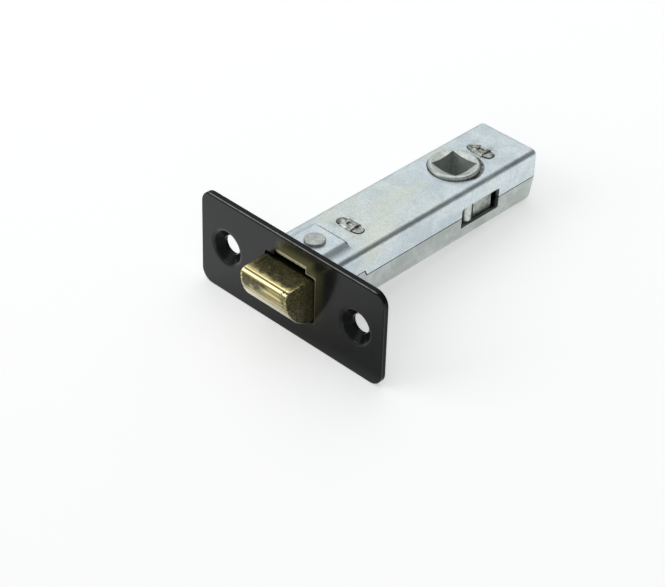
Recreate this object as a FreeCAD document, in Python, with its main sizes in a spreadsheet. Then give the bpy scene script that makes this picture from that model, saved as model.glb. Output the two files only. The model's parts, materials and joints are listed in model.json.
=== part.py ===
import FreeCAD, Part
import math
import os
import re

import Sketcher

# A tubular mortice latch for an inside door. It lies along Y: the forend faces -Y, the bolt comes out
# of it towards -Y, and the case goes into the door's edge towards +Y. Z is the axis of the follower,
# which a square spindle turns. The origin is the middle of the forend's front face.
# Lengths are millimetres and angles are degrees.

SIZES = {
    # Forend: the plate that shows in the door's edge. Its lug is the flap of the opening, folded back.
    "forend_length": 60.0,
    "forend_height": 26.4,
    "forend_thickness": 1.45,
    "forend_corner": 3.5,
    "forend_edge": 0.3,
    "screw_spacing": 42.7,
    "screw_hole": 5.2,
    "dimple_rim": 9.6,
    "dimple_depth": 1.9,
    "dimple_wall": 0.95,
    "dimple_soft": 1.5,
    "opening_corner": 0.8,
    "lug_width": 10.4,
    "lug_reach": 13.2,
    "bend_inside": 0.4,
    # Latch bolt: flat on top and round at the nose, with a curved ramp underneath.
    "bolt_width": 15.2,
    "bolt_height": 12.1,
    "bolt_projection": 8.7,
    "bolt_tail": 6.5,
    "nose_radius": 1.65,
    "ramp_foot": 1.1,
    "bolt_edge": 0.4,
    "bolt_side_gap": 0.7,
    "bolt_top_gap": 0.55,
    "spring_pocket": 9.6,
    "pocket_depth": 5.5,
    # Rod that ties the bolt to the retractor, with its washer and clip.
    "rod_diameter": 3.6,
    "rod_socket": 4.0,
    "rod_end": 1.4,
    "rod_end_bevel": 0.4,
    "rod_gap": 0.25,
    "washer_diameter": 7.0,
    "washer_thickness": 0.8,
    "washer_gap": 0.15,
    "clip_diameter": 6.4,
    "clip_thickness": 0.6,
    "clip_groove": 2.8,
    "clip_mouth": 2.2,
    # Case: two pressed shells that meet along the sides. Folds are given by their inside radius.
    "case_side_gap": 0.4,
    "case_end": 78.4,
    "case_top": 7.7,
    "case_bottom": 7.2,
    "case_wall": 1.0,
    "roof_fold": 0.6,
    "corner_fold": 0.4,
    "floor_fold": 1.2,
    "side_draft": 0.25,
    "back_draft": 1.5,
    "seam_height": 0.1,
    "seam_gap": 0.25,
    "tongue_rise": 1.5,
    "tongue_end": 15.6,
    "tongue_slope": 0.7,
    # Raised pad of the upper shell, over the forend's lug, and the rivet through both.
    "pad_gap": 0.1,
    "lug_side_gap": 0.3,
    "pad_side": 0.4,
    "pad_rear": 0.25,
    "pad_bend_share": 0.7,
    "pad_rear_slope": 0.4,
    "rivet_place": 8.2,
    "rivet_head": 5.3,
    "rivet_rise": 0.75,
    "rivet_round": 0.35,
    "rivet_shank": 3.2,
    "rivet_tail": 4.4,
    # Plates staked into both shells: the rod's guide in front and a spacer behind.
    "guide_place": 20.2,
    "spacer_place": 67.0,
    "plate_thickness": 2.9,
    "plate_corner": 1.0,
    "guide_width": 14.8,
    "spacer_gap": 0.425,
    "tab_length": 7.9,
    "tab_gap": 0.2,
    "tab_rise": 0.2,
    "stake_length": 3.8,
    "stake_width": 3.6,
    "stake_rise": 0.5,
    "stake_bevel": 0.25,
    "punch_length": 1.9,
    "punch_width": 1.3,
    "punch_depth": 0.3,
    # Follower: the cast hub with the square socket and two lobes.
    "backset": 57.0,
    "spindle_square": 8.0,
    "hub_diameter": 12.6,
    "head_lip": 0.25,
    "head_gap": 0.3,
    "head_rise": 1.0,
    "head_round": 0.6,
    "head_rim": 0.9,
    "head_dish": 0.5,
    "top_lip": 1.6,
    "bottom_lip": 1.1,
    "flange_thickness": 1.1,
    "flange_gap": 0.1,
    "lobe_reach": 9.4,
    "lobe_width": 3.1,
    "lobe_height": 4.95,
    "lobe_drop": 0.175,
    "lobe_angle": 23.0,
    "turn_angle": 65.0,
    # Window in each side of the case, which gives the lobes room to swing.
    "window_length": 13.8,
    "window_gap": 0.4,
    "window_corner": 1.0,
    # Retractor: a folded fork that the lobes push back.
    "sheet_thickness": 1.1,
    "sheet_fold": 0.3,
    "fork_leg": 1.4,
    "fork_front": 30.0,
    "fork_gap": 0.3,
    "lobe_gap": 0.4,
    "ear_length": 6.6,
    "ear_drop": 3.3,
    "fold_relief": 0.8,
    "seat_width": 2.95,
    # Springs.
    "bolt_coil": 8.6,
    "bolt_wire": 0.9,
    "bolt_pitch": 2.8,
    "return_coil": 3.0,
    "return_wire": 0.45,
    "return_pitch": 2.3,
    "coil_gap": 0.05,
}

# A cut starts and ends this far outside the solid that it goes through.
OVERSHOOT = 2.0

# Places and sizes that follow from the ones above.
HEAD_RADIUS = "(hub_diameter / 2 + head_lip)"
FORK_SLOT = "(hub_diameter / 2 + fork_gap)"
FORK_HALF = f"({FORK_SLOT} + fork_leg)"
CASE_INSIDE = f"({FORK_HALF} + case_side_gap)"
CASE_HALF = f"({CASE_INSIDE} + case_wall)"
OPENING_HALF = "(bolt_height / 2 + bolt_top_gap)"
OPENING_ACROSS = "(bolt_width / 2 + bolt_side_gap)"
BEND_OUTSIDE = "(bend_inside + forend_thickness)"
RAMP_DEPTH = "(bolt_projection - ramp_foot)"
RAMP_RADIUS = f"(({RAMP_DEPTH} ^ 2 + (bolt_height - nose_radius) ^ 2) / (2 * {RAMP_DEPTH}))"
POCKET_FLOOR = "(bolt_tail - pocket_depth)"
SPRING_ACROSS = f"({FORK_HALF} - seat_width / 2)"
SPACER_WIDTH = f"(2 * ({SPRING_ACROSS} - return_coil / 2 - spacer_gap))"
ROOF = "(case_top - case_wall)"
FLOOR = "(case_bottom - case_wall)"
INSIDE_END = "(case_end - case_wall)"
SEAM_ABOVE = "(seam_height + seam_gap / 2)"
SEAM_BELOW = "(seam_height - seam_gap / 2)"
LUG_TOP = f"({OPENING_HALF} + forend_thickness)"
PAD_ROOF = f"({LUG_TOP} + pad_gap)"
PAD_TOP = f"({PAD_ROOF} + case_wall)"
PAD_RISE = f"({PAD_TOP} - case_top)"
PAD_BEND = f"(pad_bend_share * {PAD_RISE})"
PAD_REAR = "(lug_reach + pad_rear)"
COUNTERSINK = "((rivet_tail - rivet_shank) / 2)"
LOBE_ROOT = "(hub_diameter / 2 - lobe_width)"
TIP_CENTRE = "(lobe_reach - lobe_width / 2)"
STROKE = f"({TIP_CENTRE} * (sin(turn_angle - lobe_angle) + sin(lobe_angle)))"
LOBE_TOP = "(lobe_height / 2 - lobe_drop)"
LOBE_FOOT = "(0 - lobe_height / 2 - lobe_drop)"
WINDOW_TOP = f"({LOBE_TOP} + window_gap)"
WINDOW_FOOT = f"({LOBE_FOOT} - window_gap)"
FORK_TOP = f"({ROOF} - flange_gap - flange_thickness - fork_gap)"
FORK_UNDER = f"({FORK_TOP} - sheet_thickness)"
EAR_FRONT = f"(backset - {TIP_CENTRE} * sin(lobe_angle) + lobe_width / 2 + lobe_gap)"
EAR_END = f"({EAR_FRONT} + ear_length)"
WASHER_FRONT = "(fork_front + sheet_thickness + fork_gap)"
CLIP_FRONT = f"({WASHER_FRONT} + washer_thickness)"
ROD_FRONT = f"({POCKET_FLOOR} - rod_socket)"
ROD_BACK = f"({CLIP_FRONT} + clip_thickness + rod_end)"

PLANE_SIGN = {"XY_Plane": 1, "YZ_Plane": 1, "XZ_Plane": -1}
TOLERANCE = 0.001

document = FreeCAD.newDocument("tubular_latch")
sheet = document.addObject("Spreadsheet::Sheet", "sizes")


def fill_sheet():
    """Writes each size to a row of its own, with its name as the cell's alias."""
    for row, (name, size) in enumerate(SIZES.items(), start=1):
        sheet.set(f"A{row}", name)
        sheet.set(f"B{row}", str(size))
        sheet.setAlias(f"B{row}", name)
    document.recompute()


def linked(text):
    """The expression with each size's name pointing at its cell."""
    return re.sub(r"[a-z][a-z_]*", lambda word: f"sizes.{word[0]}" if word[0] in SIZES else word[0], text)


def number(text):
    """What an expression is worth, in millimetres or degrees."""
    return float(sheet.evalExpression(linked(text)))


def new_body(label, along="0"):
    """An empty body with its label, placed at a distance behind the forend's front face."""
    body = document.addObject("PartDesign::Body", label)
    body.Label = label
    body.setExpression("Placement.Base.y", linked(along))
    return body


def new_sketch(body, name, plane, level="0", across="0"):
    """A sketch on an origin plane, moved to a level along the axis that the plane is square to."""
    sketch = body.newObject("Sketcher::SketchObject", f"{body.Name}_{name}")
    support = [item for item in body.Origin.OriginFeatures if item.Role == plane][0]
    sketch.AttachmentSupport = [(support, "")]
    sketch.MapMode = "FlatFace"
    sketch.setExpression("AttachmentOffset.Base.x", linked(across))
    sketch.setExpression("AttachmentOffset.Base.z", linked(f"{PLANE_SIGN[plane]} * ({level})"))
    return sketch


def fix_point(sketch, geometry, point, place):
    """Holds a point of the sketch at a pair of expressions from the sketch's origin."""
    for kind, text in zip(("DistanceX", "DistanceY"), place):
        index = sketch.addConstraint(Sketcher.Constraint(kind, -1, 1, geometry, point, number(text)))
        sketch.setExpression(f"Constraints[{index}]", linked(text))


def fix_radius(sketch, geometry, radius):
    """Holds the radius of an arc or a circle at an expression."""
    index = sketch.addConstraint(Sketcher.Constraint("Radius", geometry, number(radius)))
    sketch.setExpression(f"Constraints[{index}]", linked(radius))


def draw_outline(sketch, corners, arcs=None, hollows=None):
    """A closed outline, anticlockwise. Sides in arcs bulge outwards, and sides in hollows inwards."""
    radii = {**(arcs or {}), **(hollows or {})}
    first = sketch.GeometryCount
    points = [FreeCAD.Vector(number(a), number(b), 0) for a, b in corners]
    starts = []
    for side, start in enumerate(points):
        end = points[(side + 1) % len(points)]
        if side in radii:
            chord = end - start
            radius = number(radii[side])
            rise = radius - math.sqrt(radius**2 - (chord.Length / 2) ** 2)
            outwards = FreeCAD.Vector(chord.y, -chord.x, 0).normalize()
            bulge = outwards * (-rise if side in (hollows or {}) else rise)
            sketch.addGeometry(Part.Arc(start, (start + end) / 2 + bulge, end), False)
        else:
            sketch.addGeometry(Part.LineSegment(start, end), False)
        index = first + side
        starts.append(1 if (sketch.getPoint(index, 1) - start).Length < TOLERANCE else 2)
    for side, corner in enumerate(corners):
        before = (side - 1) % len(corners)
        sketch.addConstraint(
            Sketcher.Constraint("Coincident", first + before, 3 - starts[before], first + side, starts[side])
        )
        fix_point(sketch, first + side, starts[side], corner)
        if side in radii:
            fix_radius(sketch, first + side, radii[side])
    return sketch


def draw_box(sketch, left, right, low, high):
    """A rectangle between four expressions."""
    return draw_outline(sketch, [(left, low), (right, low), (right, high), (left, high)])


def draw_centred(sketch, half_width, half_height):
    """A rectangle round the sketch's origin."""
    return draw_box(sketch, f"-({half_width})", half_width, f"-({half_height})", half_height)


def draw_circle(sketch, radius, place=("0", "0")):
    """A circle round a point given by two expressions."""
    centre = FreeCAD.Vector(number(place[0]), number(place[1]), 0)
    index = sketch.addGeometry(Part.Circle(centre, FreeCAD.Vector(0, 0, 1), number(radius)), False)
    fix_radius(sketch, index, radius)
    fix_point(sketch, index, 3, place)
    return sketch


def draw_slot(sketch, start, end, radius):
    """A slot with round ends, which are circles round the points start and end."""
    low, high = [FreeCAD.Vector(number(a), number(b), 0) for a, b in (start, end)]
    size = number(radius)
    heading = math.atan2(high.y - low.y, high.x - low.x)
    side = FreeCAD.Vector(math.sin(heading), -math.cos(heading), 0) * size
    square = math.pi / 2
    normal = FreeCAD.Vector(0, 0, 1)
    near_end = Part.ArcOfCircle(Part.Circle(low, normal, size), heading + square, heading + 3 * square)
    far_end = Part.ArcOfCircle(Part.Circle(high, normal, size), heading - square, heading + square)
    sketch.addGeometry(near_end, False)
    sketch.addGeometry(Part.LineSegment(low + side, high + side), False)
    sketch.addGeometry(far_end, False)
    sketch.addGeometry(Part.LineSegment(high - side, low - side), False)
    for index in range(4):
        sketch.addConstraint(Sketcher.Constraint("Tangent", index, 2, (index + 1) % 4, 1))
    for index, place in ((0, start), (2, end)):
        fix_point(sketch, index, 3, place)
    fix_radius(sketch, 0, radius)
    return sketch


def push(kind, sketch, length, towards=1, both=False):
    """Pads or pockets an outline towards +1 or -1 along the axis that its plane is square to."""
    body = sketch.getParentGeoFeatureGroup()
    plane = sketch.AttachmentSupport[0][0].Role
    feature = body.newObject(f"PartDesign::{kind}", f"{sketch.Name}_{kind.lower()}")
    feature.Profile = sketch
    usual = PLANE_SIGN[plane] * (1 if kind == "Pad" else -1)
    feature.Midplane = both
    feature.Reversed = not both and towards != usual
    feature.setExpression("Length", linked(length))
    return finished(feature)


def cut_across(body, name, corners, arcs=None):
    """Cuts a side outline right through the case's width."""
    sketch = draw_outline(new_sketch(body, name, "YZ_Plane"), corners, arcs)
    return push("Pocket", sketch, f"2 * {CASE_HALF} + {OVERSHOOT}", both=True)


def spin(kind, sketch):
    """Revolves or grooves an outline a full turn about the sketch's upright axis."""
    body = sketch.getParentGeoFeatureGroup()
    feature = body.newObject(f"PartDesign::{kind}", f"{sketch.Name}_{kind.lower()}")
    feature.Profile = sketch
    feature.ReferenceAxis = (sketch, ["V_Axis"])
    feature.Angle = 360
    return finished(feature)


def edges_where(body, wanted):
    """Names of the edges of the body's last feature that a test picks out."""
    names = [f"Edge{n}" for n, edge in enumerate(body.Tip.Shape.Edges, start=1) if wanted(edge)]
    if not names:
        raise RuntimeError(f"{body.Label}: no such edge")
    return names


def round_edges(body, name, radius, wanted):
    """Fillets the edges that a test picks out."""
    base = body.Tip
    names = edges_where(body, wanted)
    feature = body.newObject("PartDesign::Fillet", f"{body.Name}_{name}")
    feature.Base = (base, names)
    feature.setExpression("Radius", linked(radius))
    return finished(feature)


def bevel_edges(body, name, size, wanted):
    """Chamfers the edges that a test picks out."""
    base = body.Tip
    names = edges_where(body, wanted)
    feature = body.newObject("PartDesign::Chamfer", f"{body.Name}_{name}")
    feature.Base = (base, names)
    feature.setExpression("Size", linked(size))
    return finished(feature)


def hollow_out(body, wanted):
    """Leaves the case's wall inside a solid, which is open at the flat faces that a test picks out."""
    base = body.Tip
    names = [f"Face{n}" for n, face in enumerate(base.Shape.Faces, start=1) if wanted(face)]
    feature = body.newObject("PartDesign::Thickness", f"{body.Name}_wall")
    feature.Base = (base, names)
    feature.Reversed = True
    feature.setExpression("Value", linked("case_wall"))
    return finished(feature)


def finished(feature):
    """Recomputes the document and stops if the new feature failed."""
    document.recompute()
    if "Invalid" in feature.State or "Error" in feature.State or feature.Shape.isNull():
        raise RuntimeError(f"{feature.Name} failed: {feature.State}")
    return feature


def middle(edge):
    """The point halfway along an edge."""
    return edge.valueAt((edge.FirstParameter + edge.LastParameter) / 2)


def near(value, text):
    """Whether a coordinate lies at an expression's value."""
    return abs(value - number(text)) < TOLERANCE


def runs_along(edge, axis):
    """Whether an edge is straight and parallel to X, Y or Z."""
    box = edge.BoundBox
    spans = {"x": box.XLength, "y": box.YLength, "z": box.ZLength}
    across = [span for name, span in spans.items() if name != axis]
    return spans[axis] > TOLERANCE and max(across) < TOLERANCE


def lies_at_height(item, text):
    """Whether an edge or face lies in a level plane."""
    box = item.BoundBox
    return box.ZLength < TOLERANCE and near(box.ZMin, text)


def lies_at_depth(item, text):
    """Whether an edge or face lies in a plane parallel to the forend."""
    box = item.BoundBox
    return box.YLength < TOLERANCE and near(box.YMin, text)


def add_dimple(body, name, side):
    """Presses a countersunk dimple with its screw hole into the forend."""
    place = f"{side} * screw_spacing / 2"
    foot = "dimple_rim / 2 + dimple_wall / 2"
    crown = "dimple_depth + dimple_wall"
    boss = new_sketch(body, f"{name}_boss", "XY_Plane", across=place)
    draw_outline(
        boss,
        [
            ("0", "forend_thickness / 2"),
            (foot, "forend_thickness / 2"),
            (foot, "forend_thickness"),
            ("screw_hole / 2 + dimple_wall", crown),
            ("0", crown),
        ],
    )
    spin("Revolution", boss)
    dish = new_sketch(body, f"{name}_dish", "XY_Plane", across=place)
    draw_outline(
        dish,
        [
            ("0", f"-{OVERSHOOT}"),
            ("dimple_rim / 2", f"-{OVERSHOOT}"),
            ("dimple_rim / 2", "0"),
            ("screw_hole / 2", "dimple_depth"),
            ("screw_hole / 2", f"{crown} + {OVERSHOOT}"),
            ("0", f"{crown} + {OVERSHOOT}"),
        ],
    )
    spin("Groove", dish)


def is_dimple_rim(edge):
    """Whether an edge is the circle where a dimple leaves the forend's front face."""
    return lies_at_depth(edge, "0") and near(edge.BoundBox.ZLength, "dimple_rim")


def is_front_outline(edge, shape):
    """Whether an edge belongs to the outer outline of the forend's front face."""
    front = max((face for face in shape.Faces if lies_at_depth(face, "0")), key=lambda face: face.Area)
    return any(edge.isSame(other) for other in front.OuterWire.Edges)


def make_forend():
    """The forend, pressed from one plate."""
    body = new_body("forend")
    plate = new_sketch(body, "plate", "XZ_Plane")
    push("Pad", draw_centred(plate, "forend_length / 2", "forend_height / 2"), "forend_thickness")
    round_edges(body, "corners", "forend_corner", lambda edge: runs_along(edge, "y"))
    opening = new_sketch(body, "opening", "XZ_Plane")
    push("Pocket", draw_centred(opening, OPENING_ACROSS, OPENING_HALF), "forend_thickness")
    round_edges(
        body,
        "opening_corners",
        "opening_corner",
        lambda edge: runs_along(edge, "y") and near(abs(middle(edge).x), OPENING_ACROSS),
    )
    bend_start = f"{OPENING_HALF} + {BEND_OUTSIDE}"
    relief = new_sketch(body, "relief", "XZ_Plane")
    push("Pocket", draw_box(relief, "-lug_width / 2", "lug_width / 2", "0", bend_start), "forend_thickness")
    lug = new_sketch(body, "lug", "YZ_Plane")
    draw_outline(
        lug,
        [
            (BEND_OUTSIDE, OPENING_HALF),
            ("lug_reach", OPENING_HALF),
            ("lug_reach", LUG_TOP),
            (BEND_OUTSIDE, LUG_TOP),
            ("forend_thickness", bend_start),
            ("0", bend_start),
        ],
        arcs={5: BEND_OUTSIDE},
        hollows={3: "bend_inside"},
    )
    push("Pad", lug, "lug_width", both=True)
    add_dimple(body, "left", -1)
    add_dimple(body, "right", 1)
    round_edges(body, "dimple_rims", "dimple_soft", is_dimple_rim)
    solid = body.Tip.Shape
    round_edges(body, "front_edge", "forend_edge", lambda edge: is_front_outline(edge, solid))
    cut_rivet_hole(body)
    return body


def cut_rivet_hole(body):
    """The lug's hole, countersunk from below for the rivet's tail."""
    hole = new_sketch(body, "rivet_hole", "XZ_Plane", "rivet_place")
    draw_outline(
        hole,
        [
            ("0", f"{OPENING_HALF} - {OVERSHOOT}"),
            ("rivet_tail / 2", f"{OPENING_HALF} - {OVERSHOOT}"),
            ("rivet_tail / 2", OPENING_HALF),
            ("rivet_shank / 2", f"{OPENING_HALF} + {COUNTERSINK}"),
            ("rivet_shank / 2", f"{LUG_TOP} + {OVERSHOOT}"),
            ("0", f"{LUG_TOP} + {OVERSHOOT}"),
        ],
    )
    spin("Groove", hole)


def make_rivet():
    """The rivet that holds the upper shell's pad to the forend's lug."""
    body = new_body("front_rivet", "rivet_place")
    crown = f"{PAD_TOP} + rivet_rise"
    half = new_sketch(body, "half", "XZ_Plane")
    draw_outline(
        half,
        [
            ("0", OPENING_HALF),
            ("rivet_tail / 2", OPENING_HALF),
            ("rivet_shank / 2", f"{OPENING_HALF} + {COUNTERSINK}"),
            ("rivet_shank / 2", PAD_TOP),
            ("rivet_head / 2", PAD_TOP),
            ("rivet_head / 2", crown),
            ("0", crown),
        ],
    )
    spin("Revolution", half)
    round_edges(body, "head_edge", "rivet_round", lambda edge: lies_at_height(edge, crown))
    return body


def cut_case_holes(body, level, depth, towards):
    """The follower's hole and both tab slots, through a shell's flat wall."""
    hub = new_sketch(body, "hub_hole", "XY_Plane", level)
    push("Pocket", draw_circle(hub, f"{HEAD_RADIUS} + head_gap", ("0", "backset")), depth, towards)
    for place in ("guide_place", "spacer_place"):
        slot = new_sketch(body, place.replace("place", "slot"), "XY_Plane", level)
        reach = "(tab_length / 2 - plate_thickness / 2)"
        draw_slot(slot, (f"-{reach}", place), (reach, place), "plate_thickness / 2 + tab_gap")
        push("Pocket", slot, depth, towards)


def make_upper_case():
    """The upper shell, open in front and below, with its raised pad."""
    body = new_body("upper_case")
    outside = new_sketch(body, "outside", "XY_Plane", SEAM_ABOVE)
    draw_box(outside, f"-{CASE_HALF}", CASE_HALF, "forend_thickness", "case_end")
    push("Pad", outside, f"case_top - {SEAM_ABOVE}")
    round_edges(
        body,
        "back_corners",
        "corner_fold + case_wall",
        lambda edge: runs_along(edge, "z") and near(middle(edge).y, "case_end"),
    )
    round_edges(
        body,
        "roof_edges",
        "roof_fold + case_wall",
        lambda edge: lies_at_height(edge, "case_top") and not lies_at_depth(edge, "forend_thickness"),
    )
    hollow_out(
        body, lambda face: lies_at_height(face, SEAM_ABOVE) or lies_at_depth(face, "forend_thickness")
    )
    add_pad(body)
    cut_case_holes(body, f"case_top + {OVERSHOOT}", f"case_wall + 2 * {OVERSHOOT}", -1)
    rivet = new_sketch(body, "rivet_hole", "XY_Plane", f"{PAD_TOP} + {OVERSHOOT}")
    draw_circle(rivet, "rivet_shank / 2", ("0", "rivet_place"))
    push("Pocket", rivet, f"case_wall + 2 * {OVERSHOOT}", -1)
    cut_across(
        body,
        "window",
        [
            ("backset - window_length / 2", f"-{OVERSHOOT}"),
            ("backset + window_length / 2", f"-{OVERSHOOT}"),
            ("backset + window_length / 2", WINDOW_TOP),
            ("backset - window_length / 2 + window_corner", WINDOW_TOP),
            ("backset - window_length / 2", f"{WINDOW_TOP} - window_corner"),
        ],
        arcs={3: "window_corner"},
    )
    cut_across(
        body,
        "notch",
        [
            ("0", f"-{OVERSHOOT}"),
            ("tongue_end + tongue_slope + seam_gap", f"-{OVERSHOOT}"),
            ("tongue_end + tongue_slope + seam_gap", SEAM_ABOVE),
            ("tongue_end + seam_gap", f"{SEAM_ABOVE} + tongue_rise"),
            ("0", f"{SEAM_ABOVE} + tongue_rise"),
        ],
    )
    return body


def add_pad(body):
    """Raises the pad over the forend's lug and makes room for the lug beneath it."""
    step = f"sqrt({PAD_BEND} * {PAD_RISE} - ({PAD_RISE} / 2) ^ 2)"
    side = "(lug_width / 2 + pad_side)"
    halfway = f"case_top + {PAD_RISE} / 2"
    pad = new_sketch(body, "pad", "XZ_Plane", "forend_thickness")
    draw_outline(
        pad,
        [
            (f"-({side} + {step})", ROOF),
            (f"{side} + {step}", ROOF),
            (f"{side} + {step}", "case_top"),
            (side, halfway),
            (f"{side} - {step}", PAD_TOP),
            (f"{step} - {side}", PAD_TOP),
            (f"-{side}", halfway),
            (f"-({side} + {step})", "case_top"),
        ],
        arcs={3: PAD_BEND, 5: PAD_BEND},
        hollows={2: PAD_BEND, 6: PAD_BEND},
    )
    push("Pad", pad, f"{PAD_REAR} + pad_rear_slope - forend_thickness")
    cut_across(
        body,
        "pad_rear",
        [
            (f"{PAD_REAR} + pad_rear_slope", "case_top"),
            (f"{PAD_REAR} + pad_rear_slope + {OVERSHOOT}", "case_top"),
            (f"{PAD_REAR} + pad_rear_slope + {OVERSHOOT}", f"{PAD_TOP} + {OVERSHOOT}"),
            (PAD_REAR, f"{PAD_TOP} + {OVERSHOOT}"),
            (PAD_REAR, PAD_TOP),
        ],
    )
    room = new_sketch(body, "lug_room", "YZ_Plane")
    bend_end = f"{OPENING_HALF} + {BEND_OUTSIDE}"
    draw_outline(
        room,
        [
            ("0", f"{ROOF} - {OVERSHOOT}"),
            ("lug_reach + pad_gap", f"{ROOF} - {OVERSHOOT}"),
            ("lug_reach + pad_gap", PAD_ROOF),
            (BEND_OUTSIDE, PAD_ROOF),
            (BEND_OUTSIDE, bend_end),
            ("0", bend_end),
        ],
    )
    push("Pocket", room, "lug_width + 2 * lug_side_gap", both=True)


def make_lower_case():
    """The lower shell, with drafted walls and a tongue on each side that fills the upper's notch."""
    body = new_body("lower_case")
    side = new_sketch(body, "outside", "YZ_Plane")
    draw_outline(
        side,
        [
            ("forend_thickness", "-case_bottom"),
            ("case_end - back_draft", "-case_bottom"),
            ("case_end", SEAM_BELOW),
            ("forend_thickness", SEAM_BELOW),
        ],
    )
    push("Pad", side, f"2 * {CASE_HALF}", both=True)
    trim_sides(body)
    round_edges(
        body,
        "floor_edges",
        "floor_fold + case_wall",
        lambda edge: lies_at_height(edge, "-case_bottom") and not lies_at_depth(edge, "forend_thickness"),
    )
    rear = number("case_end - back_draft") - TOLERANCE
    round_edges(
        body,
        "back_corners",
        "corner_fold + case_wall",
        lambda edge: edge.BoundBox.YMin > rear and edge.BoundBox.ZLength > TOLERANCE,
    )
    hollow_lower(body)
    add_tongues(body)
    cut_case_holes(body, f"-case_bottom - {OVERSHOOT}", f"case_wall + 2 * {OVERSHOOT}", 1)
    cut_across(
        body,
        "window",
        [
            ("backset - window_length / 2", WINDOW_FOOT),
            ("backset + window_length / 2", WINDOW_FOOT),
            ("backset + window_length / 2", f"{OVERSHOOT}"),
            ("backset - window_length / 2", f"{OVERSHOOT}"),
        ],
    )
    return body


def trim_sides(body):
    """Drafts the lower shell's sides by a wedge cut from each."""
    wedges = new_sketch(body, "side_wedges", "XZ_Plane")
    foot = f"({CASE_HALF} - side_draft)"
    outside = f"({CASE_HALF} + {OVERSHOOT})"
    draw_outline(
        wedges,
        [
            (foot, "-case_bottom"),
            (outside, "-case_bottom"),
            (outside, SEAM_BELOW),
            (CASE_HALF, SEAM_BELOW),
        ],
    )
    draw_outline(
        wedges,
        [
            (f"-{outside}", "-case_bottom"),
            (f"-{foot}", "-case_bottom"),
            (f"-{CASE_HALF}", SEAM_BELOW),
            (f"-{outside}", SEAM_BELOW),
        ],
    )
    push("Pocket", wedges, f"case_end + {OVERSHOOT}")


def hollow_lower(body):
    """Takes out the lower shell's inside, whose back slopes like the outside."""
    half = f"({CASE_INSIDE} - side_draft / 2)"
    slope = f"(back_draft * ({FLOOR} + {SEAM_BELOW}) / (case_bottom + {SEAM_BELOW}))"
    inside = new_sketch(body, "inside", "YZ_Plane")
    draw_outline(
        inside,
        [
            ("0", f"-{FLOOR}"),
            (f"{INSIDE_END} - {slope}", f"-{FLOOR}"),
            (INSIDE_END, SEAM_BELOW),
            (INSIDE_END, f"{SEAM_BELOW} + {OVERSHOOT}"),
            ("0", f"{SEAM_BELOW} + {OVERSHOOT}"),
        ],
    )
    push("Pocket", inside, f"2 * {half}", both=True)
    round_edges(
        body,
        "floor_folds",
        "floor_fold",
        lambda edge: lies_at_height(edge, f"-{FLOOR}") and not lies_at_depth(edge, "forend_thickness"),
    )
    front = number(f"{INSIDE_END} - {slope}") - TOLERANCE
    round_edges(
        body,
        "corner_folds",
        "corner_fold",
        lambda edge: near(abs(middle(edge).x), half) and edge.BoundBox.YMin > front,
    )


def add_tongues(body):
    """Raises the front of both side walls above the seam."""
    for name, left in (("left", f"-{CASE_HALF}"), ("right", CASE_INSIDE)):
        tongue = new_sketch(body, f"{name}_tongue", "YZ_Plane", left)
        draw_outline(
            tongue,
            [
                ("forend_thickness", SEAM_BELOW),
                ("tongue_end + tongue_slope", SEAM_BELOW),
                ("tongue_end", f"{SEAM_BELOW} + tongue_rise"),
                ("forend_thickness", f"{SEAM_BELOW} + tongue_rise"),
            ],
        )
        push("Pad", tongue, "case_wall")


def make_staked_plate(label, width, place):
    """A plate between the shells, with a tab and a staked block through each shell."""
    body = new_body(label, place)
    half = f"{width} / 2"
    plate = new_sketch(body, "plate", "XZ_Plane")
    draw_outline(
        plate,
        [
            (f"-{half} + plate_corner", f"-{FLOOR}"),
            (f"{half} - plate_corner", f"-{FLOOR}"),
            (half, f"-{FLOOR} + plate_corner"),
            (half, ROOF),
            (f"-{half}", ROOF),
            (f"-{half}", f"-{FLOOR} + plate_corner"),
        ],
    )
    push("Pad", plate, "plate_thickness", both=True)
    tab = new_sketch(body, "tab", "XY_Plane", "0 - tab_rise - case_bottom")
    reach = "(tab_length / 2 - plate_thickness / 2)"
    draw_slot(tab, (f"-{reach}", "0"), (reach, "0"), "plate_thickness / 2")
    push("Pad", tab, "case_top + case_bottom + 2 * tab_rise")
    core = new_sketch(body, "stake_core", "XY_Plane", "-case_bottom")
    draw_centred(core, "stake_length / 2", "plate_thickness / 2")
    push("Pad", core, "case_top + case_bottom")
    for name, level, towards in (("upper", "case_top", 1), ("lower", "-case_bottom", -1)):
        stake = new_sketch(body, f"{name}_stake", "XY_Plane", level)
        push("Pad", draw_centred(stake, "stake_length / 2", "stake_width / 2"), "stake_rise", towards)
    bevel_edges(
        body,
        "stake_edges",
        "stake_bevel",
        lambda edge: lies_at_height(edge, "case_top + stake_rise")
        or lies_at_height(edge, "-case_bottom - stake_rise"),
    )
    for name, level, towards in (("upper", "case_top", -1), ("lower", "-case_bottom", 1)):
        punch = new_sketch(body, f"{name}_punch", "XY_Plane", f"{level} - {towards} * stake_rise")
        push("Pocket", draw_centred(punch, "punch_length / 2", "punch_width / 2"), "punch_depth", towards)
    return body


def make_guide():
    """The front staked plate, with the hole that guides the rod."""
    body = make_staked_plate("guide_plate", "guide_width", "guide_place")
    hole = new_sketch(body, "rod_hole", "XZ_Plane", "-plate_thickness / 2")
    push("Pocket", draw_circle(hole, "rod_diameter / 2 + rod_gap"), "plate_thickness")
    return body


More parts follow.
